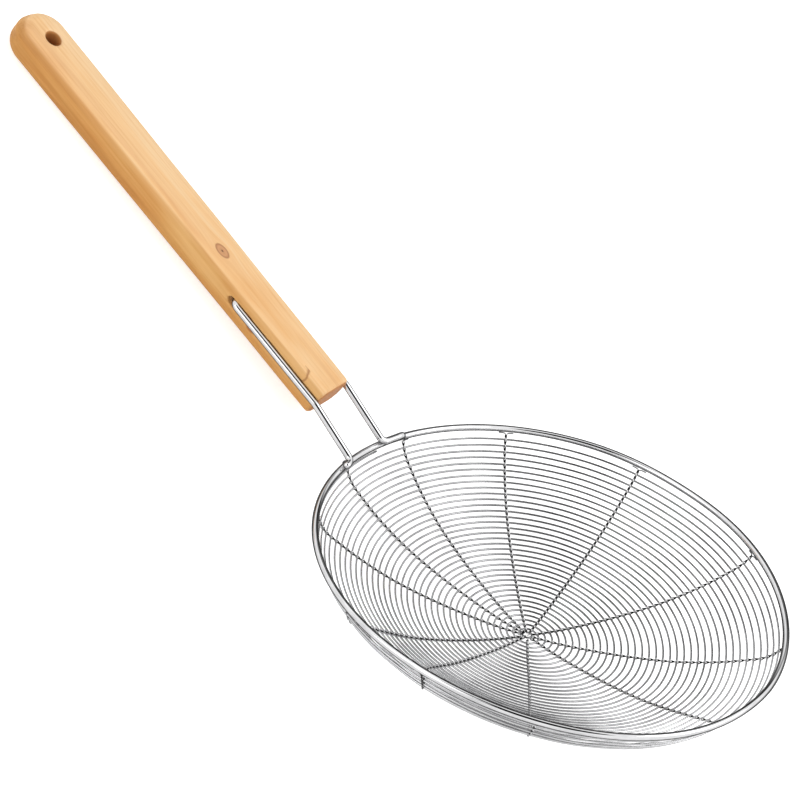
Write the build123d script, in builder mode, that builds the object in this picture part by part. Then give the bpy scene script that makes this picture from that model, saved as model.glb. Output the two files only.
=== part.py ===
from build123d import *
import math
import os

os.makedirs("parts", exist_ok=True)

# Spider skimmer, in millimetres. It lies on a table as it would when put down:
# the bowl leans on its lower wall and the handle's butt touches the table.
# X runs from the handle (-X) to the bowl (+X), Z is up.

# Rods and wires, as diameters
rod = 3.0
rod_sides = 16
spiral_wire = 0.8
strand = 0.7

# Bowl, seen with its rim level. Directions are in degrees, counter-clockwise from above,
# from the handle's side.
rim_radius = 101.0
bowl_depth = 35.6
wall_sag = 4.2
wall_sag_towards = 115.0
hub_offset = 2.0
hub_offset_towards = 25.0
rib_angles = [6.9, 29.2, 63.3, 81.2, 121.0, 171.6, 203.5, 239.6, 278.8, 314.5, 344.9]

# Spiral: turns, and the directions and radii that it starts and ends at
turns = 35.7
spiral_start = -5.5
outer_turn_drop = 2.3
hub_radius = 4.6
strand_end_radius = 3.0
step_limit = 20.0
weave_gap = 0.03

# The bowl's section from the rim to the hub: shares of the rim's radius and of the depth,
# and the share of the sag that one side of the wall has
radius_shares = [1.0, 0.985, 0.967, 0.95, 0.93, 0.91, 0.88, 0.83, 0.775, 0.7, 0.6, 0.45, 0.3, 0.15, 0.0]
depth_shares = [0.0, 0.08, 0.15, 0.2, 0.245, 0.283, 0.337, 0.425, 0.507, 0.603, 0.708, 0.822, 0.907, 0.969, 1.0]
sag_shares = [0.0, 0.3, 0.68, 0.9, 1.0, 0.86, 0.62, 0.28, 0.1, 0.0, 0.0, 0.0, 0.0, 0.0, 0.0]

# Handle
handle_length = 213.0
handle_width_low = 23.0
handle_width_high = 26.0
handle_thick = 15.6
handle_edge = 5.4
handle_end_edge = 1.2
handle_pitch = 24.44
handle_reach = 123.4
handle_rise = 16.4
hang_hole = 8.2
hang_hole_from_butt = 16.8
hang_hole_edge = 0.8

# Legs: a rod in a groove on each side of the handle, then down to the rim
leg_spacing = 23.3
leg_rise = 2.0
groove_length = 58.0
tip_depth = 7.0
tip_bend = 3.5
leg_bend = 12.0
foot_bend = 3.2
seat_gap = 0.02
left_foot = 3.9
right_foot = 11.5


def sag_weight(degrees):
    """How much of the wall's sag a direction has, from 0 to 1."""
    return ((1 + math.cos(math.radians(degrees - wall_sag_towards))) / 2) ** 2


def rim_and_hub(degrees):
    """The rim's point in a direction and the hub, level with the rim, in the bowl's frame."""
    a = math.radians(degrees)
    b = math.radians(hub_offset_towards)
    rim_point = Vector(-rim_radius * math.cos(a), -rim_radius * math.sin(a), 0)
    return rim_point, Vector(-hub_offset * math.cos(b), -hub_offset * math.sin(b), 0)


def section(degrees):
    """The bowl's section in a direction: distance from the hub and height, rim first."""
    rim_point, hub = rim_and_hub(degrees)
    reach = (rim_point - hub).length
    sag = wall_sag * sag_weight(degrees)
    shares = zip(radius_shares, depth_shares, sag_shares)
    return [(r * reach, -d * bowl_depth - s * sag) for r, d, s in shares]


def runs_of(points):
    """Distance run from the first point to each point."""
    runs = [0.0]
    for (ra, za), (rb, zb) in zip(points, points[1:]):
        runs.append(runs[-1] + math.hypot(rb - ra, zb - za))
    return runs


def on_section(points, run):
    """Distance from the hub, height and slope at a run from the rim."""
    runs = runs_of(points)
    i = 0
    while i < len(runs) - 2 and runs[i + 1] < run:
        i += 1
    (ra, za), (rb, zb) = points[i], points[i + 1]
    share = (run - runs[i]) / (runs[i + 1] - runs[i])
    return ra + share * (rb - ra), za + share * (zb - za), math.atan2(zb - za, ra - rb)


def run_at_radius(points, radius):
    """The run from the rim to a distance from the hub."""
    i = 0
    while i < len(points) - 2 and points[i + 1][0] > radius:
        i += 1
    share = (points[i][0] - radius) / (points[i][0] - points[i + 1][0])
    runs = runs_of(points)
    return runs[i] + share * (runs[i + 1] - runs[i])


def offset_section(degrees, distance, inner_radius):
    """The section moved square to itself, up for a positive distance, with mitred corners."""
    points = section(degrees)
    end = run_at_radius(points, inner_radius)
    moved = []
    for run in [run for run in runs_of(points) if run < end] + [end]:
        before = on_section(points, max(run - weave_gap, 0.0))[2]
        after = on_section(points, min(run + weave_gap, end))[2]
        out, height, slope = on_section(points, run)
        middle = (before + after) / 2
        mitre = distance / math.cos((after - before) / 2)
        moved.append((out + mitre * math.sin(middle), height + mitre * math.cos(middle)))
    return moved


# The spiral's square section holds as much steel as the round wire
wire_side = spiral_wire * math.sqrt(math.pi) / 2
strand_rise = (wire_side + strand) / 2 + weave_gap

# How the skimmer lies: the table touches the lowest rib and the butt's underside
pitch = math.radians(handle_pitch)
butt_run = handle_length - handle_edge
butt_out = handle_reach + butt_run * math.cos(pitch) + handle_thick / 2 * math.sin(pitch)
butt_low = handle_rise + butt_run * math.sin(pitch) - handle_thick / 2 * math.cos(pitch)
under = []
for angle, drop in ((rib_angles[0], strand_rise + strand / 2), (0, wire_side / 2)):
    lean_share = math.cos(math.radians(angle))
    hub_out = hub_offset * math.cos(math.radians(hub_offset_towards))
    for r, z in offset_section(angle, -drop, hub_radius):
        share = r / rim_radius
        under.append((r * lean_share + hub_out * max(1 - share, 0), z))
rest_tilt = max(math.atan2(butt_low - z, butt_out - r) for r, z in under)
bowl_up = -min(z * math.cos(rest_tilt) - r * math.sin(rest_tilt) for r, z in under)
butt_reach = handle_reach + handle_length * math.cos(pitch)
butt_height = handle_rise + handle_length * math.sin(pitch)
near_end = butt_reach * math.cos(rest_tilt) + butt_height * math.sin(rest_tilt)
far_end = rim_radius * math.cos(rest_tilt) + rod / 2
bowl_x = (near_end - far_end) / 2

bowl = Plane(
    origin=(bowl_x, 0, bowl_up),
    x_dir=(math.cos(rest_tilt), 0, math.sin(rest_tilt)),
    z_dir=(-math.sin(rest_tilt), 0, math.cos(rest_tilt)),
)
lean = pitch - rest_tilt
handle_plane = Plane(
    origin=bowl.from_local_coords(Vector(-handle_reach, 0, handle_rise)),
    x_dir=(-math.cos(lean), 0, math.sin(lean)),
    z_dir=(math.sin(lean), 0, math.cos(lean)),
)
print("rest tilt", rest_tilt, "bowl", bowl.origin, "handle", handle_plane.origin, "lean", lean)


def rib_plane(degrees):
    """The upright plane from the hub to the rim's point in a direction, X outwards, Y up."""
    rim_point, hub = rim_and_hub(degrees)
    start = bowl.from_local_coords(hub)
    out = (bowl.from_local_coords(rim_point) - start).normalized()
    return Plane(origin=start, x_dir=out, z_dir=out.cross(bowl.z_dir))


# Rim: a rod bent into a ring and butt welded
with BuildPart() as rim_ring:
    with BuildSketch(Plane(origin=bowl.origin, x_dir=bowl.x_dir, z_dir=-bowl.y_dir)):
        with Locations((rim_radius, 0)):
            RegularPolygon(rod / 2, rod_sides)
    revolve(axis=Axis(bowl.origin, bowl.z_dir))
rim_ring.part.label = "rim_ring"
export_step(rim_ring.part, "parts/rim_ring.step")

# Spiral: one wire from the rim to the hub, straight between stations at and between the ribs
stations = []
for here, there in zip(rib_angles, rib_angles[1:] + [rib_angles[0] + 360]):
    count = math.ceil((there - here) / step_limit)
    stations += [here + (there - here) * k / count for k in range(count)]
spiral_end = spiral_start + 360 * turns
angles = [spiral_start]
for turn in range(math.ceil(turns) + 2):
    angles += [a + 360 * turn for a in stations if spiral_start < a + 360 * turn < spiral_end]
angles.append(spiral_end)
with BuildPart() as spiral:
    for angle in reversed(angles):
        points = section(angle)
        end = run_at_radius(points, hub_radius)
        share = (angle - spiral_start) / (spiral_end - spiral_start)
        out, height, slope = on_section(points, outer_turn_drop + (end - outer_turn_drop) * share)
        with BuildSketch(rib_plane(angle)):
            with Locations((out, height)):
                Rectangle(wire_side, wire_side, rotation=-math.degrees(slope))
    loft(ruled=True)
spiral.part.label = "spiral_wire"
export_step(spiral.part, "parts/spiral_wire.step")

# Ribs: two strands each, one over and one under every turn of the spiral
for number, angle in enumerate(rib_angles, start=1):
    plane = rib_plane(angle)
    for side, rise in (("upper", strand_rise), ("lower", -strand_rise)):
        with BuildPart() as rib_strand:
            with BuildLine(plane) as path:
                Polyline(*offset_section(angle, rise, strand_end_radius))
            with BuildSketch(Plane(origin=path.line @ 0, x_dir=plane.z_dir, z_dir=path.line % 0)):
                Rectangle(strand, strand)
            sweep(transition=Transition.RIGHT)
            add(rim_ring.part, mode=Mode.SUBTRACT)
        name = f"rib_{number:02d}_{side}_strand"
        rib_strand.part.label = name
        export_step(rib_strand.part, f"parts/{name}.step")

# Legs: each bent rod from its hole in the handle to its foot on the rim
leg_half = leg_spacing / 2
foot_rise = rod + seat_gap
foot_down = math.atan2(
    handle_rise + leg_rise * math.cos(pitch) - foot_rise,
    handle_reach - leg_rise * math.sin(pitch) - rim_radius,
)


def leg_points(side, foot):
    """Points of a leg's centre-line, side 1 for the left leg and -1 for the right one."""
    groove = [(groove_length, leg_half - tip_depth), (groove_length, leg_half), (0, leg_half)]
    points = [handle_plane.from_local_coords(Vector(x, side * y, leg_rise)) for x, y in groove]
    foot_radius = rim_radius - foot_rise * math.sin(foot_down)
    foot_height = foot_rise * math.cos(foot_down)
    crossing = math.asin(leg_half / foot_radius)
    for a in (side * crossing, side * (crossing + foot / foot_radius)):
        on_rim = Vector(-foot_radius * math.cos(a), -foot_radius * math.sin(a), foot_height)
        points.append(bowl.from_local_coords(on_rim))
    return points


for name, side, foot in (("left", 1, left_foot), ("right", -1, right_foot)):
    with BuildPart() as leg_rod:
        with BuildLine() as path:
            FilletPolyline(*leg_points(side, foot), radius=[tip_bend, leg_bend, foot_bend])
        with BuildSketch(Plane(origin=path.line @ 0, z_dir=path.line % 0)):
            RegularPolygon(rod / 2, rod_sides)
        sweep()
    leg_rod.part.label = f"{name}_leg_rod"
    export_step(leg_rod.part, f"parts/{name}_leg_rod.step")

# Handle: a wooden bar with a round butt, a hanging hole and a groove for each leg
along = Axis(handle_plane.origin, handle_plane.x_dir)
with BuildPart() as handle:
    with BuildSketch(handle_plane):
        with BuildLine():
            low = (0, handle_width_low / 2)
            high = (handle_length - handle_width_high / 2, handle_width_high / 2)
            Polyline((high[0], -high[1]), (low[0], -low[1]), low, high)
            ThreePointArc(high, (handle_length, 0), (high[0], -high[1]))
        make_face()
    extrude(amount=handle_thick / 2, both=True)
    end_face = handle.faces().sort_by(along)[0]
    fillet(handle.faces().filter_by(handle_plane).edges() - end_face.edges(), radius=handle_edge)
    chamfer(handle.faces().sort_by(along)[0].edges(), length=handle_end_edge)
    # The hanging hole, widened at its mouths
    with Locations(handle_plane * Pos(handle_length - hang_hole_from_butt, 0, 0)):
        Cylinder(hang_hole / 2, handle_thick, mode=Mode.SUBTRACT)
    mouths = handle.edges().filter_by(GeomType.CIRCLE)
    chamfer(mouths.filter_by(lambda edge: abs(edge.radius - hang_hole / 2) < seat_gap), hang_hole_edge)
    # A groove along each side for the rod, and a slot for its tip
    for side in (1, -1):
        start = handle_plane.from_local_coords(Vector(-rod, side * leg_half, leg_rise))
        with BuildSketch(Plane(origin=start, x_dir=handle_plane.y_dir, z_dir=handle_plane.x_dir)):
            Circle(rod / 2 + seat_gap)
        extrude(amount=groove_length, mode=Mode.SUBTRACT)
        slot_x = groove_length - tip_bend / 2
        inner = handle_plane.from_local_coords(Vector(slot_x, side * (leg_half - tip_depth), leg_rise))
        out = handle_plane.y_dir * side
        with BuildSketch(Plane(origin=inner, x_dir=handle_plane.x_dir, z_dir=out)):
            SlotOverall(rod + tip_bend + 2 * seat_gap, rod + 2 * seat_gap)
        extrude(amount=tip_depth + rod, mode=Mode.SUBTRACT)
handle.part.label = "handle"
export_step(handle.part, "parts/handle.step")
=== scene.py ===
import math

import bmesh
import bpy
from mathutils import Matrix, Vector, noise


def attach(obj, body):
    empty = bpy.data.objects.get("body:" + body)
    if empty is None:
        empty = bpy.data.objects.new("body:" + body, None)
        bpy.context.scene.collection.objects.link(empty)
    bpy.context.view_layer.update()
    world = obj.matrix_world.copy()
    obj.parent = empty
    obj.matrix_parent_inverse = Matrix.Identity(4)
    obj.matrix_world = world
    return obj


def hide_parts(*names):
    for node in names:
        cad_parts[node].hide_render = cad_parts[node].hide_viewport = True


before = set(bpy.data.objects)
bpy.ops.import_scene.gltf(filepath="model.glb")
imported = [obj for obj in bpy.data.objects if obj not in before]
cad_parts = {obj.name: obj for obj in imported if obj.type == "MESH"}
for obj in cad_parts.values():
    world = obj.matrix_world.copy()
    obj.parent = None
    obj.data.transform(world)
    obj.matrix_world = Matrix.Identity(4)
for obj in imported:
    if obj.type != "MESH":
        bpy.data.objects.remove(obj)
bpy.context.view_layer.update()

MM = 0.001

# How the skimmer lies, tilted by radians, and its sizes in millimetres and degrees, as in the solids
rest_tilt = 0.446821
bowl_origin = Vector((119.372, 0, 50.5359))
rod = 3.0
wire = 0.8
rim_radius = 101.0
bowl_depth = 35.6
wall_sag = 4.2
wall_sag_towards = 115.0
hub_offset = 2.0
hub_offset_towards = 25.0
rib_angles = [6.9, 29.2, 63.3, 81.2, 121.0, 171.6, 203.5, 239.6, 278.8, 314.5, 344.9]
turns = 35.7
spiral_start = -5.5
outer_turn_drop = 2.3
hub_radius = 4.6
radius_shares = [1.0, 0.985, 0.967, 0.95, 0.93, 0.91, 0.88, 0.83, 0.775, 0.7, 0.6, 0.45, 0.3, 0.15, 0.0]
depth_shares = [
    0.0, 0.08, 0.15, 0.2, 0.245, 0.283, 0.337, 0.425, 0.507, 0.603, 0.708, 0.822, 0.907, 0.969, 1.0
]
sag_shares = [0.0, 0.3, 0.68, 0.9, 1.0, 0.86, 0.62, 0.28, 0.1, 0.0, 0.0, 0.0, 0.0, 0.0, 0.0]
handle_pitch = 24.44
handle_reach = 123.4
handle_rise = 16.4
handle_half_width = 11.5
handle_half_height = 7.8
butt_half_width = 13.0
butt_centre = 200.0
hole_centre = 196.2
leg_spacing = 23.3
leg_rise = 2.0
groove_length = 56.3
tip_depth = 7.0
left_foot = 3.9
right_foot = 11.5


def frame_matrix(origin, x, z):
    """A matrix with that origin and x and z directions."""
    y = z.cross(x)
    m = Matrix((x, y, z)).transposed().to_4x4()
    m.translation = origin
    return m


bowl = frame_matrix(
    bowl_origin,
    Vector((math.cos(rest_tilt), 0, math.sin(rest_tilt))),
    Vector((-math.sin(rest_tilt), 0, math.cos(rest_tilt))),
)
lean = math.radians(handle_pitch) - rest_tilt
handle_frame = frame_matrix(
    bowl @ Vector((-handle_reach, 0, handle_rise)),
    Vector((-math.cos(lean), 0, math.sin(lean))),
    Vector((math.sin(lean), 0, math.cos(lean))),
)

# The photograph's camera: place and directions in the bowl's frame, focal length in its pixels
camera_place = Vector((347.85, -927.878, 704.424))
camera_right = Vector((0.799405, 0.550846, 0.239834))
camera_down = Vector((0.482654, -0.351102, -0.802354))
camera_forward = Vector((-0.357768, 0.757163, -0.546541))
focal_pixels = 2917.12
photo_pixels = 800
film_width = 36


def make_camera():
    turn = bowl.to_3x3()
    right, down, forward = turn @ camera_right, turn @ camera_down, turn @ camera_forward
    data = bpy.data.cameras.new("camera")
    data.sensor_width = film_width
    data.lens = film_width * focal_pixels / photo_pixels
    data.clip_start, data.clip_end = 0.01, 50
    camera = bpy.data.objects.new("camera", data)
    bpy.context.scene.collection.objects.link(camera)
    m = Matrix((right, -down, -forward)).transposed().to_4x4()
    m.translation = bowl @ camera_place * MM
    camera.matrix_world = m
    bpy.context.scene.camera = camera


make_camera()

# How the hand-made rim is out of round: a mean and four waves, as cosine and sine parts, the
# directions where it keeps to the solids' circle, which is widest or farthest there, within how many
# degrees it does, and the share of the radius from which the wall follows it
bulge_mean = -0.37
bulge_waves = ((0.04, -0.73), (0.28, 0.75), (-0.3, 1.05), (0.03, -0.29))
kept_directions = (90, 180, 270)
kept_width = 19
wall_bulge_share = 0.55


def turned(degrees, start):
    """The angle from a start to a direction, between -180 and 180 degrees."""
    return (degrees - start + 180) % 360 - 180


def round_point(angle, radius, height=0.0):
    """A point in the bowl's frame, at an angle in radians from the handle's side."""
    return Vector((-radius * math.cos(angle), -radius * math.sin(angle), height))


def rim_bulge(degrees):
    """How far the rim is out of round, in millimetres outwards."""
    a = math.radians(degrees)
    waves = enumerate(bulge_waves, 1)
    bulge = bulge_mean + sum(c * math.cos(k * a) + s * math.sin(k * a) for k, (c, s) in waves)
    for kept in kept_directions:
        if bulge > 0:
            bulge *= 1 - math.exp(-((turned(degrees, kept) / kept_width) ** 2))
    return bulge


def curve(xs, ys, x):
    """A smooth curve through points with falling x."""
    i = 0
    while i < len(xs) - 2 and xs[i + 1] > x:
        i += 1
    step = [(ys[k + 1] - ys[k]) / (xs[k + 1] - xs[k]) for k in range(len(xs) - 1)]
    before = step[i] if i == 0 else (step[i - 1] + step[i]) / 2
    after = step[i] if i == len(step) - 1 else (step[i] + step[i + 1]) / 2
    h = xs[i + 1] - xs[i]
    t = (x - xs[i]) / h
    return (
        ys[i] * (1 + 2 * t) * (1 - t) ** 2
        + before * h * t * (1 - t) ** 2
        + ys[i + 1] * t * t * (3 - 2 * t)
        - after * h * t * t * (1 - t)
    )


# The bowl's section, from the rim to the hub, in even steps of the radius
section_steps = 120
samples = [1 - k / section_steps for k in range(section_steps + 1)]
depth_curve = [curve(radius_shares, depth_shares, r) for r in samples]
sag_curve = [curve(radius_shares, sag_shares, r) for r in samples]
sections = {}


def section(degrees):
    """The hub, the way out from it, and rows of run from the rim, distance from the hub and height."""
    key = round(degrees % 360, 3)
    if key not in sections:
        rim_point = round_point(math.radians(key), rim_radius)
        hub = round_point(math.radians(hub_offset_towards), hub_offset)
        reach = (rim_point - hub).length
        out = (rim_point - hub).normalized()
        sag = wall_sag * ((1 + math.cos(math.radians(key - wall_sag_towards))) / 2) ** 2
        bulge = rim_bulge(key)
        rows, run, last = [], 0.0, None
        for r, d, s in zip(samples, depth_curve, sag_curve):
            near_rim = max((r - wall_bulge_share) / (1 - wall_bulge_share), 0) ** 1.5
            point = (r * reach + bulge * near_rim, -d * bowl_depth - s * sag)
            if last:
                run += math.hypot(point[0] - last[0], point[1] - last[1])
            rows.append((run, point[0], point[1]))
            last = point
        sections[key] = hub, out, rows
    return sections[key]


def run_at(degrees, distance):
    """The run from the rim to a distance from the hub."""
    rows = section(degrees)[2]
    i = 0
    while i < len(rows) - 2 and rows[i + 1][1] > distance:
        i += 1
    (ra, da, _), (rb, db, _) = rows[i], rows[i + 1]
    return ra + (da - distance) / (da - db) * (rb - ra)


def on_bowl(degrees, run, lift=0.0, side=0.0):
    """A point of the bowl at a run from the rim, lifted square to it and moved along the rim."""
    hub, out, rows = section(degrees)
    low, high = 0, len(rows) - 2
    while low < high:
        middle = (low + high + 1) // 2
        if rows[middle][0] <= run:
            low = middle
        else:
            high = middle - 1
    (ra, da, za), (rb, db, zb) = rows[low], rows[low + 1]
    t = (run - ra) / (rb - ra)
    inward, drop = (da - db) / (rb - ra), (zb - za) / (rb - ra)
    across = out.cross(Vector((0, 0, 1)))
    normal = out * drop + Vector((0, 0, inward))
    point = hub + out * (da + t * (db - da)) + Vector((0, 0, za + t * (zb - za)))
    return bowl @ (point + normal * lift + across * side)


# A tube's rounded end: how far its rings lie past the end and how wide they are, in shares of the
# radius, and the millimetres of wire that one unit of the UV map spans
cap_shares = ((1.0, 0.02), (0.87, 0.5), (0.5, 0.87))
uv_length = 10


def new_object(name, mesh):
    """A visible piece that rides the skimmer's one body."""
    piece = bpy.data.objects.new(name, mesh)
    bpy.context.scene.collection.objects.link(piece)
    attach(piece, "root")
    return piece


def uv_layer(bm, name):
    """The mesh's UV layer of that name, made where it is missing."""
    layers = bm.loops.layers.uv
    return layers.get(name) or layers.new(name)


def tube_frames(points, radius, closed):
    """Centre, two side vectors and radius of each ring of a tube, and the wire's length up to it."""
    count = len(points)
    ahead = []
    for i in range(count):
        a = points[(i - 1) % count] if closed or i > 0 else points[0]
        b = points[(i + 1) % count] if closed or i < count - 1 else points[-1]
        ahead.append((b - a).normalized())
    across = ahead[0].orthogonal().normalized()
    frames, lengths, length = [], [], 0.0
    for i, direction in enumerate(ahead):
        across = (across - direction * across.dot(direction)).normalized()
        if i:
            length += (points[i] - points[i - 1]).length
        frames.append((points[i], across.copy(), direction.cross(across), radius))
        lengths.append(length)
    if closed:
        return frames, lengths
    (start, a, b, _), (stop, c, d, _) = frames[0], frames[-1]
    opening = [(start - ahead[0] * radius * past, a, b, radius * wide) for past, wide in cap_shares]
    ending = [(stop + ahead[-1] * radius * past, c, d, radius * wide) for past, wide in cap_shares]
    caps = len(cap_shares)
    return opening + frames + ending[::-1], [-1.0] * caps + lengths + [length + 1.0] * caps


def tube(bm, points, radius, sides, closed=False, shape=None, marks=None):
    """Adds a round tube along points in millimetres, with rounded ends unless it is closed.

    shape gives a share of the radius for a share of the length and an angle round the tube.
    marks are the points' values in the seam layer, from 0, dark, to 2: painted shade and painted light on
    the wire.
    """
    uv, seam = uv_layer(bm, "UVMap"), uv_layer(bm, "seam")
    frames, lengths = tube_frames(points, radius, closed)
    marks = list(marks or [1.0] * len(points))
    if not closed:
        marks = marks[:1] * len(cap_shares) + marks + marks[-1:] * len(cap_shares)
    rings = []
    for k, (centre, a, b, r) in enumerate(frames):
        ring = []
        for j in range(sides):
            turn = 2 * math.pi * j / sides
            scale = shape(k / len(frames), turn) if shape else 1.0
            offset = (a * math.cos(turn) + b * math.sin(turn)) * r * scale
            ring.append(bm.verts.new((centre + offset) * MM))
        rings.append(ring)
    pairs = list(zip(rings, rings[1:]))
    spans = list(zip(lengths, lengths[1:]))
    shades = list(zip(marks, marks[1:])) + [(marks[-1], marks[0])]
    if closed:
        # the side vectors come back a little turned, so the last ring meets the nearest corners
        shift = min(range(sides), key=lambda s: (rings[0][s].co - rings[-1][0].co).length)
        pairs.append((rings[-1], rings[0][shift:] + rings[0][:shift]))
        spans.append((lengths[-1], lengths[-1] + (points[0] - points[-1]).length))
    for (here, there), (u0, u1), (m0, m1) in zip(pairs, spans, shades):
        for j in range(sides):
            following = (j + 1) % sides
            face = bm.faces.new((here[j], here[following], there[following], there[j]))
            face.smooth = True
            v0, v1 = j / sides, (j + 1) / sides
            corners = ((u0, v0, m0), (u0, v1, m0), (u1, v1, m1), (u1, v0, m1))
            for loop, (u, v, mark) in zip(face.loops, corners):
                loop[uv].uv = u / uv_length, v
                loop[seam].uv = mark, 0.5
    if not closed:
        for ring in (rings[0][::-1], rings[-1]):
            face = bm.faces.new(ring)
            face.smooth = True


def finish_mesh(bm, name):
    """A mesh of what has been built, with its faces outwards."""
    bmesh.ops.recalc_face_normals(bm, faces=bm.faces)
    mesh = bpy.data.meshes.new(name)
    bm.to_mesh(mesh)
    bm.free()
    return mesh


def rounded(points, radii, bend_step=8.0, straight_step=4):
    """Points along straight runs with round bends, in steps of degrees and of millimetres."""
    path = [points[0]]
    for before, corner, after, radius in zip(points, points[1:], points[2:], radii):
        a = (before - corner).normalized()
        b = (after - corner).normalized()
        half = math.acos(max(-1, min(1, a.dot(b)))) / 2
        back = radius / math.tan(half)
        centre = corner + (a + b).normalized() * radius / math.sin(half)
        start, stop = corner + a * back, corner + b * back
        sweep = math.pi - 2 * half
        u = (start - centre).normalized()
        w = (stop - centre) - u * (stop - centre).dot(u)
        w.normalize()
        count = max(int(math.degrees(sweep) / bend_step), 3)
        for k in range(count + 1):
            t = sweep * k / count
            path.append(centre + (u * math.cos(t) + w * math.sin(t)) * radius)
    path.append(points[-1])
    dense = [path[0]]
    for p, q in zip(path, path[1:]):
        extra = int((q - p).length // straight_step)
        dense += [p.lerp(q, k / (extra + 1)) for k in range(1, extra + 2)]
    return dense


def blob(bm, centre, size, seed, squash, lumps=0.22, lump_scale=1.7):
    """Adds a small lump of weld, in millimetres."""
    before = len(bm.faces)
    made = bmesh.ops.create_icosphere(bm, subdivisions=3, radius=1.0)
    seam = uv_layer(bm, "seam")
    bm.faces.ensure_lookup_table()
    for face in bm.faces[before:]:
        face.smooth = True
        for loop in face.loops:
            loop[seam].uv = 1.0, 0.5
    for v in made["verts"]:
        rough = 1 + lumps * noise.noise(v.co * lump_scale + Vector((seed, 0, 0)))
        v.co = (centre + Vector((v.co.x, v.co.y, v.co.z * squash)) * size * rough) * MM


# Materials. A ramp runs from 0 to 1, so it is given lengths in centimetres, and values up to 2 halved
CM = 100.0
HALVED = 0.5


class Value:
    """A node's output, so that a formula of math nodes can be written as a formula."""

    def __init__(self, tree, socket):
        self.tree = tree
        self.socket = socket

    def calculate(self, operation, *others):
        """What a math node makes of this and the others."""
        made = self.tree.nodes.new("ShaderNodeMath")
        made.operation = operation
        for socket, value in zip(made.inputs, (self, *others)):
            feed(self.tree, socket, value)
        return Value(self.tree, made.outputs[0])

    def __add__(self, other):
        return self.calculate("ADD", other)

    def __sub__(self, other):
        return self.calculate("SUBTRACT", other)

    def __mul__(self, other):
        return self.calculate("MULTIPLY", other)

    def __truediv__(self, other):
        return self.calculate("DIVIDE", other)

    def __pow__(self, other):
        return self.calculate("POWER", other)

    def __abs__(self):
        return self.calculate("ABSOLUTE")

    def root(self):
        return self.calculate("SQRT")

    def at_least(self, other):
        return self.calculate("MAXIMUM", other)

    def at_most(self, other):
        return self.calculate("MINIMUM", other)

    def above(self, other):
        """1 where this is above the other, else 0."""
        return self.calculate("GREATER_THAN", other)

    def below(self, other):
        """1 where this is below the other, else 0."""
        return self.calculate("LESS_THAN", other)


def feed(tree, socket, value):
    """Links a node's output to a socket, or sets the socket's own value."""
    if isinstance(value, Value):
        value = value.socket
    if isinstance(value, bpy.types.NodeSocket):
        tree.links.new(value, socket)
    else:
        socket.default_value = value


def material(name):
    """A new material and its empty node tree."""
    mat = bpy.data.materials.new(name)
    mat.use_nodes = True
    mat.node_tree.nodes.clear()
    return mat, mat.node_tree


def node(tree, kind, settings=None, **inputs):
    """Adds a node. Its inputs go by their names, with _ for a space, or by i and a number."""
    made = tree.nodes.new(kind)
    for key, value in (settings or {}).items():
        setattr(made, key, value)
    for key, value in inputs.items():
        numbered = key[0] == "i" and key[1:].isdigit()
        feed(tree, made.inputs[int(key[1:]) if numbered else key.replace("_", " ")], value)
    return made


def ramp(factor, *stops):
    """Colours, or greys, that change with a value at the stops."""
    made = factor.tree.nodes.new("ShaderNodeValToRGB")
    while len(made.color_ramp.elements) < len(stops):
        made.color_ramp.elements.new(0.5)
    for element, (place, colour) in zip(made.color_ramp.elements, stops):
        element.position = place
        element.color = (*(colour if isinstance(colour, tuple) else grey(colour)), 1)
    feed(factor.tree, made.inputs[0], factor)
    return Value(factor.tree, made.outputs[0])


def grey(value):
    return (value, value, value)


def mix(tree, factor, a, b, blend="MIX"):
    """Mixes two colours."""
    made = tree.nodes.new("ShaderNodeMix")
    made.data_type = "RGBA"
    made.blend_type = blend
    feed(tree, made.inputs[0], factor)
    for place, colour in ((6, a), (7, b)):
        feed(tree, made.inputs[place], (*colour, 1) if isinstance(colour, tuple) else colour)
    return Value(tree, made.outputs[2])


def multiply(tree, a, b):
    return mix(tree, 1.0, a, b, "MULTIPLY")


def cloud(tree, place, stretch=None, rotation=(0.0, 0.0, 0.0), **settings):
    """Noise from 0 to 1, drawn out along the axes where stretch is small."""
    if stretch:
        moved = node(tree, "ShaderNodeMapping", Vector=place, Scale=stretch, Rotation=rotation)
        place = moved.outputs[0]
    return Value(tree, node(tree, "ShaderNodeTexNoise", Vector=place, **settings).outputs[0])


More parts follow.
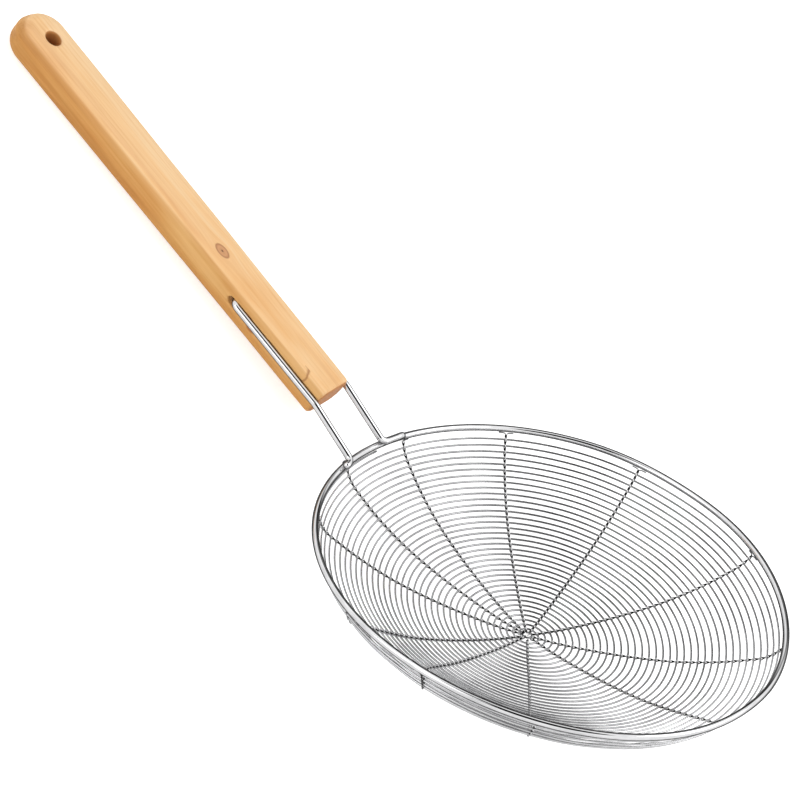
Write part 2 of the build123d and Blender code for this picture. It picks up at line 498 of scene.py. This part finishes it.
def steel(name, dark, light, rough, scale, lines_depth, edge_from):
    """Drawn steel: fine lines along the wire, patches of duller skin, painted shade and painted light from
    the seam layer's marks, and a painted dark reflection on edges seen edge on.
    """
    mat, tree = material(name)
    places = node(tree, "ShaderNodeTexCoord").outputs
    lines = cloud(tree, places["UV"], (0.6, 26.0, 1.0), Scale=scale, Detail=3.0)
    patches = cloud(tree, places["Object"], Scale=90.0, Detail=4.0)
    skin = ramp(patches, (0.3, dark), (0.62, light))
    base = multiply(tree, skin, ramp(lines, (0.35, 0.82), (0.6, 1.0)))
    roughness = ramp(patches * lines, (0.1, rough[0]), (0.45, rough[1]))
    # marks up to 0.4 are painted shade, nearly black, 1 is bare skin, and from 1.2 the painted light of
    # the bright outer wall begins
    painted_light_map = node(tree, "ShaderNodeUVMap", {"uv_map": "seam"}).outputs[0]
    marks = Value(tree, node(tree, "ShaderNodeSeparateXYZ", Vector=painted_light_map).outputs[0])
    base = multiply(tree, base, ramp(marks * HALVED, (0.2, 0.02), (0.245, 0.6), (0.5, 1.0)))
    # painted sheen: from marks of 1.2 the skin turns pale, light painted on for what the outer wall
    # reflects
    farther_in = ramp(marks * HALVED, (0.6, 1.0), (0.9, 0.0))
    painted_sheen = ramp(patches, (0.3, (0.60, 0.60, 0.61)), (0.7, (0.74, 0.74, 0.75)))
    base = mix(tree, farther_in, painted_sheen, base)
    bump = node(tree, "ShaderNodeBump", Strength=lines_depth, Distance=0.00005, Height=lines)
    shader = node(
        tree, "ShaderNodeBsdfPrincipled",
        Base_Color=base, Roughness=roughness, Normal=bump.outputs[0], Metallic=1.0,
    )
    # seen edge on, the polished skin shows the dark corners of the room
    facing = Value(tree, node(tree, "ShaderNodeLayerWeight", Blend=0.5).outputs["Facing"])
    at_edge = ramp(facing, (edge_from, 0.0), (edge_from + 0.1, 1.0)) * farther_in
    corners = node(
        tree, "ShaderNodeBsdfPrincipled",
        Base_Color=ramp(patches, (0.3, 0.02), (0.7, 0.07)), Roughness=roughness, Specular_IOR_Level=0.05,
    )
    both = node(tree, "ShaderNodeMixShader", i0=at_edge, i1=shader.outputs[0], i2=corners.outputs[0])
    node(tree, "ShaderNodeOutputMaterial", Surface=both.outputs[0])
    return mat


# Marks in the handle's wood, in metres in its frame: x to the butt, y to the left, z up.
# The knot is on the top and pushes the grain, most of all near its middle. A resin patch and the flaw
# have a place on the left side, a length and a height, are seen past a y, and the flaw also before an x.
knot_x, knot_y, knot_length, knot_width = 0.0769, 0.0024, 0.0042, 0.0027
knot_above = 0.004
knot_push, push_softness = -1.6, 1.2
resin_patches = ((0.047, 0.0033, 0.0042, 0.0012), (0.0428, -0.0002, 0.003, 0.0011))
resin_past = 0.0085
flaw_oval = (0.0150, 0.0050, 0.0045, 0.0028)
flaw_before, flaw_past = 0.0155, 0.007

# Where the narrow sides begin: a distance from the middle line, how fast it grows towards the butt
# and how far it wanders. The sawn end's ramp counts from half a centimetre before the end.
ridge_start, ridge_widening, ridge_wander = 0.0088, 0.0075, 0.0016
end_shift = 0.5


def wood():
    """Pale oiled wood with a knot, darker in the hole and on the sawn end, and on the narrow sides, where
    painted shade adds to the wood's own deeper tone.
    """
    mat, tree = material("handle_wood")
    place = node(tree, "ShaderNodeTexCoord").outputs["Object"]
    x, y, z = [Value(tree, out) for out in node(tree, "ShaderNodeSeparateXYZ", Vector=place).outputs]
    # the knot pushes the grain aside
    knot = ((x - knot_x) / knot_length) ** 2.0 + ((y - knot_y) / knot_width) ** 2.0
    on_top = z.above(knot_above)
    push = (y - knot_y) / (knot + push_softness) * knot_push
    bent = node(tree, "ShaderNodeCombineXYZ", X=x, Y=y + push * on_top, Z=z).outputs[0]
    bands = cloud(
        tree, bent, (2.2, 34.0, 34.0), (0.35, 0.0, 0.012),
        Scale=3.1, Detail=4.0, Roughness=0.6, Distortion=0.6,
    )
    fine = cloud(tree, bent, (26.0, 900.0, 900.0), Scale=1.0, Detail=5.0, Roughness=0.65)
    broad = cloud(tree, place, (9.0, 40.0, 40.0), Scale=1.4, Detail=2.0)
    top = ramp(bands, (0.3, (0.86, 0.50, 0.235)), (0.48, (0.96, 0.61, 0.30)), (0.7, (0.98, 0.70, 0.41)))
    side = ramp(bands, (0.3, (0.58, 0.27, 0.065)), (0.5, (0.72, 0.37, 0.105)), (0.7, (0.82, 0.47, 0.17)))
    # past the ridge along each upper edge the wood is a narrow side, darker: its own deeper orange with
    # painted shade
    past_centre = (x - butt_centre * MM).at_least(0.0)
    out = (past_centre ** 2.0 + y ** 2.0).root()
    ridge = x.at_most(butt_centre * MM) * ridge_widening + ridge_start
    past_ridge = out + (broad - 0.5) * ridge_wander - ridge
    colour = mix(tree, ramp(past_ridge * CM, (0.0, 0.0), (0.07, 0.75), (0.2, 1.0)), top, side)
    streaks = ramp(fine, (0.36, (0.90, 0.81, 0.70)), (0.52, 1.0))
    colour = mix(tree, 0.6, colour, multiply(tree, colour, streaks))
    handled = ramp(broad, (0.38, (0.93, 0.81, 0.66)), (0.56, 1.0))
    colour = mix(tree, 0.8, colour, multiply(tree, colour, handled))

    def oval(at_x, at_z, length, height):
        """1 on the edge of an oval on the left side, less inside it, with the grain's unevenness."""
        return ((x - at_x) / length) ** 2.0 + ((z - at_z) / height) ** 2.0 + (bands - 0.5)

    # resin patches and a curved flaw on the left side
    for patch in resin_patches:
        stain = ramp(oval(*patch), (0.3, 0.8), (1.0, 0.0))
        colour = mix(tree, stain * y.above(resin_past), colour, (0.42, 0.12, 0.02))
    flaw = ramp(abs(oval(*flaw_oval) - 1.0), (0.06, 0.7), (0.3, 0.0)) * x.below(flaw_before)
    colour = mix(tree, flaw * y.above(flaw_past), colour, (0.36, 0.12, 0.03))
    # the knot: a brown eye with a dark pip and a thin dark edge
    from_pip = knot.root() * HALVED
    eye = ramp(
        from_pip,
        (0.0, (0.12, 0.05, 0.02)), (0.05, (0.16, 0.07, 0.03)), (0.09, (0.62, 0.30, 0.13)),
        (0.3, (0.70, 0.36, 0.17)), (0.45, (0.50, 0.22, 0.09)), (0.5, (0.66, 0.34, 0.15)),
    )
    colour = mix(tree, ramp(from_pip, (0.47, 1.0), (0.54, 0.0)) * on_top, colour, eye)
    # the hanging hole's wall shows end grain, darkened by handling
    from_hole = ((x - hole_centre * MM) ** 2.0 + y ** 2.0).root()
    colour = mix(tree, ramp(from_hole * CM, (0.385, 1.0), (0.42, 0.0)), colour, (0.55, 0.24, 0.07))
    # the sawn end is pinkish brown, dotted with pores
    pores = cloud(tree, place, Scale=1500.0, Detail=2.0)
    end = ramp(pores, (0.35, (0.46, 0.17, 0.05)), (0.6, (0.68, 0.29, 0.09)))
    colour = mix(tree, ramp(x * CM + end_shift, (0.535, 1.0), (0.57, 0.0)), colour, end)
    height = fine * 0.6 + bands * 0.4
    bump = node(tree, "ShaderNodeBump", Strength=0.25, Distance=0.00018, Height=height).outputs[0]
    roughness = ramp(fine, (0.3, 0.62), (0.7, 0.44))
    shader = node(
        tree, "ShaderNodeBsdfPrincipled",
        Base_Color=colour, Roughness=roughness, Normal=bump, Specular_IOR_Level=0.4,
    )
    node(tree, "ShaderNodeOutputMaterial", Surface=shader.outputs[0])
    return mat


# Darkest and lightest skin, least and most roughness, the drawn lines' scale and depth, and how far
# edge on the skin has to be seen to darken
rod_steel = steel("rod_steel", (0.78, 0.78, 0.79), (0.92, 0.92, 0.93), (0.02, 0.05), 3.0, 0.03, 0.42)
# the spiral's steel is the same as the rods' and ribs', given a darker skin: painted shade
mesh_steel = steel("mesh_steel", (0.30, 0.30, 0.31), (0.52, 0.52, 0.53), (0.10, 0.24), 2.0, 0.1, 0.55)
rib_steel = steel("rib_steel", (0.72, 0.72, 0.73), (0.90, 0.90, 0.91), (0.10, 0.24), 2.0, 0.1, 0.85)
handle_wood = wood()

# Rim: a rod bent into a ring and butt welded at a direction, with a ridge over some degrees and a
# slip between its ends that fades over more of them
weld_at = 86.5
weld_width = 1.2
weld_ridge_share = 0.10
weld_unevenness_share = 0.4
weld_lobes = 3
weld_slip = 0.18
slip_fades = 40


def rim_shape(share, turn):
    """A low, uneven ridge round the rod at the weld."""
    away = abs(share * 360 - weld_at)
    uneven = 1 + weld_unevenness_share * math.sin(weld_lobes * turn)
    return 1 + weld_ridge_share * max(0.0, 1 - away / weld_width) * uneven


def make_rim():
    points = []
    for degrees in range(360):
        past_weld = (degrees - weld_at) % 360
        slip = weld_slip * max(0.0, 1 - past_weld / slip_fades)
        radius = rim_radius + rim_bulge(degrees) + slip
        points.append(bowl @ round_point(math.radians(degrees), radius, slip / 2))
    bm = bmesh.new()
    tube(bm, points, rod / 2, sides=28, closed=True, shape=rim_shape)
    rim = new_object("rim_rod", finish_mesh(bm, "rim_rod"))
    rim.data.materials.append(rod_steel)
    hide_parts("rim_ring")


# Spiral: degrees between its points while more than a share of it is left, how far it strays, how
# far and within how many degrees it rises at a rib, and the curl of its inner end over the hub
spiral_steps = ((0.4, 3.0), (0.15, 5.0), (0.0, 9.0))
spiral_radius = wire / 2 + 0.03
spiral_stray = 0.10
stray_degrees = 47.0
stray_seed = 3.1
rib_kink = 0.06
kink_degrees = 4.0
curl_points = 25
curl_points_to_middle = 31
curl_step = 17
curl_lift = 0.02
curl_rise = 0.04
curl_most = 0.5

# The spiral's seam marks, its painted light and shade: the least and the most; the direction of the near
# wall's middle, what the wall adds, and over what shares of it and millimetres from the rim its outside
# grows bright, as painted light; the middle and half width of the painted lighter stretch at the legs,
# what it adds and how far in it is full
mark_least, mark_most = 0.49, 2.0
near_wall_at, near_wall_mark = 105, 0.85
outer_from_share, outer_full_share = 0.3, 0.5
outer_ends, outer_fades = 36, 12
legs_at, legs_width, legs_mark, legs_full = 10, 60, 0.7, 12
curl_mark = 0.55


def between(value, low, high):
    """The value, kept from low to high."""
    return max(low, min(high, value))


def spiral_painted_light(degrees, run):
    """A turn's painted light and shade: the near wall is painted bright outside, the stretch at the legs
    lighter, and the turns farther in darker.
    """
    near_wall = (1 + math.cos(math.radians(degrees - near_wall_at))) / 2
    outer = between((outer_ends - run) / outer_fades, 0.0, 1.0)
    outer *= between((near_wall - outer_from_share) / (outer_full_share - outer_from_share), 0.0, 1.0)
    at_legs = max(0.0, 1 - (turned(degrees, legs_at) / legs_width) ** 2) * min(1, run / legs_full)
    return min(mark_least + near_wall_mark * near_wall + outer + legs_mark * at_legs, mark_most)


def make_spiral():
    points, marks = [], []
    sweep = 360 * turns
    angle = 0.0
    while angle < sweep:
        degrees = spiral_start + angle
        end = run_at(degrees, hub_radius)
        run = outer_turn_drop + (end - outer_turn_drop) * angle / sweep
        stray = spiral_stray * noise.noise(Vector((angle / stray_degrees, stray_seed, 0)))
        to_rib = min(abs(turned(degrees, rib)) for rib in rib_angles)
        kink = rib_kink * max(0.0, 1 - to_rib / kink_degrees)
        points.append(on_bowl(degrees, run + stray, kink))
        marks.append(spiral_painted_light(degrees, run))
        left = 1 - angle / sweep
        angle += next(step for share, step in spiral_steps if left > share)
    for k in range(1, curl_points + 1):
        degrees = spiral_start + sweep + k * curl_step
        away = hub_radius * (1 - k / curl_points_to_middle)
        rise = curl_most if k > curl_points // 2 else curl_rise * k
        points.append(on_bowl(degrees, run_at(degrees, away), curl_lift * k + rise))
    marks += [curl_mark] * (len(points) - len(marks))
    bm = bmesh.new()
    tube(bm, points, spiral_radius, sides=8, marks=marks)
    spiral = new_object("spiral_turns", finish_mesh(bm, "spiral_turns"))
    spiral.data.materials.append(mesh_steel)
    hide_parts("spiral_wire")


# Ribs: how far bent ones lie aside of their direction, in degrees at shares of the rim's radius, and
# which one isn't twisted before a phase, so that its outer strand stays outside
bent_ribs = {
    4: [
        (1.0, 8.1), (0.965, 8.5), (0.93, 8.0), (0.88, 6.0), (0.82, 3.2),
        (0.75, 1.0), (0.66, -0.2), (0.5, 0.0), (0.0, 0.0),
    ],
    5: [(1.0, -2.8), (0.93, -3.2), (0.8, -2.2), (0.6, -1.3), (0.3, 0.0), (0.0, 0.0)],
}
# straight_mark paints that untwisted stretch nearly black, a painted shade
straight_rib, straight_phase, straight_mark = 4, 6.0, 0.4

# The strands: radius, distance from their middle line between turns and what a turn adds to it, the
# run where their twist starts and its steps, and how near to the hub every third rib and the rest end
strand_radius = 0.3
strand_apart, strand_wider = 0.28, 0.42
twist_starts, twist_step = 2.4, 0.3
third_rib_ends, rib_ends = 1.0, 1.8

# A strand's end at the rim: a hook round the rod on some ribs, with its angles and its gap, or a
# weld under the rod, with places aside of the rib and from the rim, and how far they lie outside
hooked_ribs = (1, 11)
hook_turns = range(-20, 231, 25)
hook_gap = 0.01
welded_places = ((3.2, 1.95), (2.4, 1.95), (1.5, 1.98), (0.7, 2.1))
welded_drop = 0.35
# the strands' ends at the rim are painted darker, a painted shade
rim_end_mark = 0.45


def rib_direction(number, share):
    """A rib's direction at a share of the rim's radius."""
    direction = rib_angles[number - 1]
    if number in bent_ribs:
        direction += curve(*zip(*bent_ribs[number]), share)
    return direction


def turn_phase(degrees, run):
    """How many turns of the spiral lie outside a run: a whole number on each turn."""
    end = run_at(degrees, hub_radius)
    angle = (run - outer_turn_drop) / (end - outer_turn_drop) * 360 * turns
    return (angle + spiral_start - degrees) / 360


def twisted(number, which):
    """Points and marks of a strand that winds half round its partner from each turn to the next."""
    angle = rib_angles[number - 1]
    rows = section(angle)[2]
    last_run = run_at(angle, third_rib_ends if number % 3 == 0 else rib_ends)
    points, marks = [], []
    run = twist_starts
    while run < last_run:
        nearest = min(range(len(rows)), key=lambda i: abs(rows[i][0] - run))
        degrees = rib_direction(number, samples[nearest])
        phase = turn_phase(degrees, run)
        straight = number == straight_rib and phase <= straight_phase
        if straight:
            phase = straight_phase
        twist = math.pi * (phase + which)
        apart = strand_apart + strand_wider * math.cos(math.pi * phase) ** 4
        points.append(on_bowl(degrees, run, apart * math.cos(twist), apart * math.sin(twist)))
        # painted shade: a strand is painted dark where it twists close to its partner between turns, and
        # bare where a turn parts them
        marks.append(straight_mark if straight else math.cos(math.pi * phase) ** 2)
        run += twist_step
    return points, marks


def hook(degrees):
    """Points of an end that goes over the rim rod and down its outer side."""
    out = round_point(math.radians(degrees), 1)
    centre = out * (rim_radius + rim_bulge(degrees))
    points = []
    for turn in hook_turns:
        t = math.radians(turn)
        around = out * math.cos(t) + Vector((0, 0, math.sin(t)))
        points.append(bowl @ (centre + around * (rod / 2 + strand_radius + hook_gap)))
    return points


def make_ribs():
    for number in range(1, len(rib_angles) + 1):
        at_rim = rib_direction(number, 1.0)
        for which, name in enumerate(("upper", "lower")):
            points, marks = twisted(number, which)
            if number in hooked_ribs and which == 0:
                end = hook(at_rim)
            else:
                sign = 1 if which else -1
                end = [on_bowl(at_rim, run, -welded_drop, side * sign) for side, run in welded_places]
            bm = bmesh.new()
            tube(bm, end + points, strand_radius, sides=7, marks=[rim_end_mark] * len(end) + marks)
            label = f"rib_{number:02d}_strand_{'ab'[which]}"
            piece = new_object(label, finish_mesh(bm, label))
            piece.data.materials.append(rib_steel)
            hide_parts(f"rib_{number:02d}_{name}_strand")


# Legs: the radii of each rod's bends, at its tip, at the front of the handle and at its foot, the foot's
# height on the rim, and two lumps of weld at shares of the foot's length
leg_radius = rod / 2 + 0.1
leg_bends = (3.5, 12.0, 3.2)
leg_half = leg_spacing / 2
foot_rise = rod + 0.02
weld_size = 1.15
weld_squash_share = 0.8
weld_shares = (0.25, 0.75)


def make_legs():
    pitch = math.radians(handle_pitch)
    foot_down = math.atan2(
        handle_rise + leg_rise * math.cos(pitch) - foot_rise,
        handle_reach - leg_rise * math.sin(pitch) - rim_radius,
    )
    groove = ((groove_length, leg_half - tip_depth), (groove_length, leg_half), (0, leg_half))
    foot_radius = rim_radius - foot_rise * math.sin(foot_down)
    crossing = math.asin(leg_half / foot_radius)
    for name, side, foot in (("left", 1, left_foot), ("right", -1, right_foot)):
        points = [handle_frame @ Vector((x, side * y, leg_rise)) for x, y in groove]
        for a in (side * crossing, side * (crossing + foot / foot_radius)):
            radius = foot_radius + rim_bulge(math.degrees(a))
            points.append(bowl @ round_point(a, radius, foot_rise * math.cos(foot_down)))
        bm = bmesh.new()
        tube(bm, rounded(points, leg_bends), leg_radius, sides=24)
        # weld metal in the seam between foot and rim
        for k, share in enumerate(weld_shares):
            a = side * (crossing + foot / foot_radius * share)
            radius = rim_radius + rim_bulge(math.degrees(a)) - rod / 2 * math.sin(foot_down)
            seam = round_point(a, radius, rod / 2 * math.cos(foot_down))
            blob(bm, bowl @ seam, weld_size, side * 3 + k, weld_squash_share)
        label = f"{name}_leg"
        piece = new_object(label, finish_mesh(bm, label))
        piece.data.materials.append(rod_steel)
        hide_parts(f"{name}_leg_rod")


# Handle: the solid's form, remade as an even mesh and worked over, in metres in its own frame
voxel = 0.00055
length_share = 0.9994
unevenness, sanded_off = 0.00010, 0.00004

# How far in from the side and the top an edge reaches, the least of it that is worked, and the ridge
# along it: its angle above the side, and how flat the two faces beside it are
edge, edge_least = 0.0054, 0.0001
ridge_turn = math.radians(58)
ridge_flatness_share = 0.7

# The hanging hole is narrowed between two radii, less and less over a distance before the second
narrow_from, narrow_to, narrow_fades = 0.001, 0.0065, 0.002
narrower = 0.0004

# The cut of a groove: its radius and its height above the rod, the slot for the tip, and where it ends
cut_radius = 0.00178
cut_above = 0.2 * MM
slot_start, slot_end = 0.0545, 0.0572
cut_ends = 0.0605


def worn(p, normal):
    """A worn, slightly uneven surface."""
    wave = noise.noise(Vector((p.x * 28, p.y * 90, p.z * 90)))
    return p + normal * (unevenness * wave - sanded_off)


def ridged(p):
    """The upper edges aren't quite round: a soft ridge runs along them."""
    widening = (butt_half_width - handle_half_width) * MM
    half = handle_half_width * MM + widening * between(p.x / (butt_centre * MM), 0, 1)
    plan = Vector((max(p.x - butt_centre * MM, 0), p.y, 0))
    out_by, up_by = plan.length - half + edge, p.z - handle_half_height * MM + edge
    if out_by <= edge_least or up_by <= edge_least:
        return p
    # two flats take the place of the round edge, one on each side of the ridge
    turn = math.atan2(up_by, out_by)
    start, stop = (0, ridge_turn) if turn < ridge_turn else (ridge_turn, math.pi / 2)
    flat = math.cos((stop - start) / 2) / math.cos(turn - (start + stop) / 2)
    inwards = ridge_flatness_share * (flat - 1)
    return p + plan.normalized() * out_by * inwards + Vector((0, 0, up_by * inwards))


def narrowed(p):
    """The hanging hole is a little narrower than its rounded mouth."""
    from_hole = Vector((p.x - hole_centre * MM, p.y, 0))
    if narrow_from < from_hole.length < narrow_to:
        share = min((narrow_to - from_hole.length) / narrow_fades, 1)
        p = p - from_hole.normalized() * narrower * share
    return p


def grooved(p):
    """Each groove is cut a little wider than its rod, and its slot longer."""
    side = 1 if p.y > 0 else -1
    if p.x < slot_start:
        axis = Vector((p.x, side * leg_half * MM, leg_rise * MM + cut_above))
    else:
        axis = Vector((between(p.x, slot_start, slot_end), p.y, leg_rise * MM))
    away = p - axis
    at_groove = side * p.y > (leg_half - tip_depth - 1) * MM and p.x < cut_ends
    if at_groove and 0 < away.length < cut_radius:
        p = axis + away.normalized() * cut_radius
    return p


def remade(mesh):
    """An even, lightly smoothed mesh of the same form."""
    raw = bpy.data.objects.new("handle_raw", mesh)
    bpy.context.scene.collection.objects.link(raw)
    voxels = raw.modifiers.new("voxels", "REMESH")
    voxels.mode = "VOXEL"
    voxels.voxel_size = voxel
    sand = raw.modifiers.new("sand", "SMOOTH")
    sand.factor = 0.5
    sand.iterations = 2
    graph = bpy.context.evaluated_depsgraph_get()
    made = bpy.data.meshes.new_from_object(raw.evaluated_get(graph))
    bpy.data.objects.remove(raw)
    return made


def make_handle():
    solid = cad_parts["handle"]
    place = Matrix.Translation(handle_frame.translation * MM) @ handle_frame.to_3x3().to_4x4()
    bm = bmesh.new()
    bm.from_mesh(solid.data)
    bm.transform(place.inverted() @ solid.matrix_world)
    bmesh.ops.remove_doubles(bm, verts=bm.verts, dist=0.000001)
    made = remade(finish_mesh(bm, "handle_raw"))
    made.name = "handle_wood_bar"
    coordinates = []
    for p, normal in [(v.co.copy(), v.normal.copy()) for v in made.vertices]:
        p.x *= length_share
        coordinates.extend(grooved(narrowed(ridged(worn(p, normal)))))
    made.vertices.foreach_set("co", coordinates)
    made.update()
    for face in made.polygons:
        face.use_smooth = True
    piece = new_object("wooden_handle", made)
    piece.matrix_world = place
    piece.data.materials.append(handle_wood)
    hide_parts("handle")


make_rim()
make_spiral()
make_ribs()
make_legs()
make_handle()

# Floor and light, in metres. The photograph is cut out on white, so the floor glows for the camera.
# A dark opening has a direction, and cosines from which it fades in and is full. A lamp has a place,
# a size and a power.
floor_size = 4.0
floor_drop = 0.0002
floor_glow = 0.6
openings = (
    ((-0.1, -0.52, 0.848), 0.87, 0.895),
    ((-0.372, 0.922, 0.105), 0.91, 0.945),
    ((-0.586, 0.527, 0.616), 0.945, 0.965),
)
opening_glow = 0.015
lamps = (
    ("key", (0.5, 0.5, 1.3), 0.9, 5.0),
    ("fill", (-0.6, -1.1, 0.7), 1.0, 3.6),
)
white, black = (1, 1, 1, 1), (0, 0, 0, 1)


def make_floor():
    mat, tree = material("floor_white")
    at = node(tree, "ShaderNodeTexCoord").outputs["Object"]
    colour = ramp(cloud(tree, at, Scale=6.0, Detail=2.0), (0.0, 0.90), (1.0, 0.92))
    matt = node(tree, "ShaderNodeBsdfPrincipled", Base_Color=colour, Roughness=0.9, Specular_IOR_Level=0.1)
    glow = node(tree, "ShaderNodeEmission", Color=white, Strength=floor_glow).outputs[0]
    none = node(tree, "ShaderNodeEmission", Color=black, Strength=0.0).outputs[0]
    seen = node(tree, "ShaderNodeLightPath").outputs["Is Camera Ray"]
    lift = node(tree, "ShaderNodeMixShader", i0=seen, i1=none, i2=glow).outputs[0]
    both = node(tree, "ShaderNodeAddShader", i0=matt.outputs[0], i1=lift).outputs[0]
    node(tree, "ShaderNodeOutputMaterial", Surface=both)
    bm = bmesh.new()
    bmesh.ops.create_grid(bm, x_segments=24, y_segments=24, size=floor_size)
    mesh = finish_mesh(bm, "floor")
    floor = bpy.data.objects.new("floor", mesh)
    floor.location = (0, 0, -floor_drop)
    bpy.context.scene.collection.objects.link(floor)
    mesh.materials.append(mat)


def make_world():
    """A room that is plain white to the camera and has dark openings for the metal to mirror."""
    world = bpy.data.worlds.new("studio")
    bpy.context.scene.world = world
    world.use_nodes = True
    tree = world.node_tree
    tree.nodes.clear()
    ways = node(tree, "ShaderNodeTexCoord").outputs["Generated"]
    dark = None
    for direction, fades_from, full_from in openings:
        dot = node(tree, "ShaderNodeVectorMath", {"operation": "DOT_PRODUCT"}, i0=ways, i1=direction)
        opening = ramp(Value(tree, dot.outputs["Value"]), (fades_from, 0.0), (full_from, 1.0))
        dark = dark.at_least(opening) if dark else opening
    colour = mix(tree, dark, grey(1.0), grey(opening_glow))
    room = node(tree, "ShaderNodeBackground", Color=colour, Strength=1.0).outputs[0]
    plain = node(tree, "ShaderNodeBackground", Color=white, Strength=1.0).outputs[0]
    seen = node(tree, "ShaderNodeLightPath").outputs["Is Camera Ray"]
    both = node(tree, "ShaderNodeMixShader", i0=seen, i1=room, i2=plain).outputs[0]
    node(tree, "ShaderNodeOutputWorld", Surface=both)


def make_lamps():
    for name, place, size, power in lamps:
        data = bpy.data.lights.new(name, "AREA")
        data.size = size
        data.energy = power
        lamp = bpy.data.objects.new(name, data)
        lamp.location = place
        lamp.rotation_euler = (-Vector(place)).to_track_quat("-Z", "Y").to_euler()
        bpy.context.scene.collection.objects.link(lamp)


make_floor()
make_world()
make_lamps()
bpy.context.scene.view_settings.view_transform = "Standard"
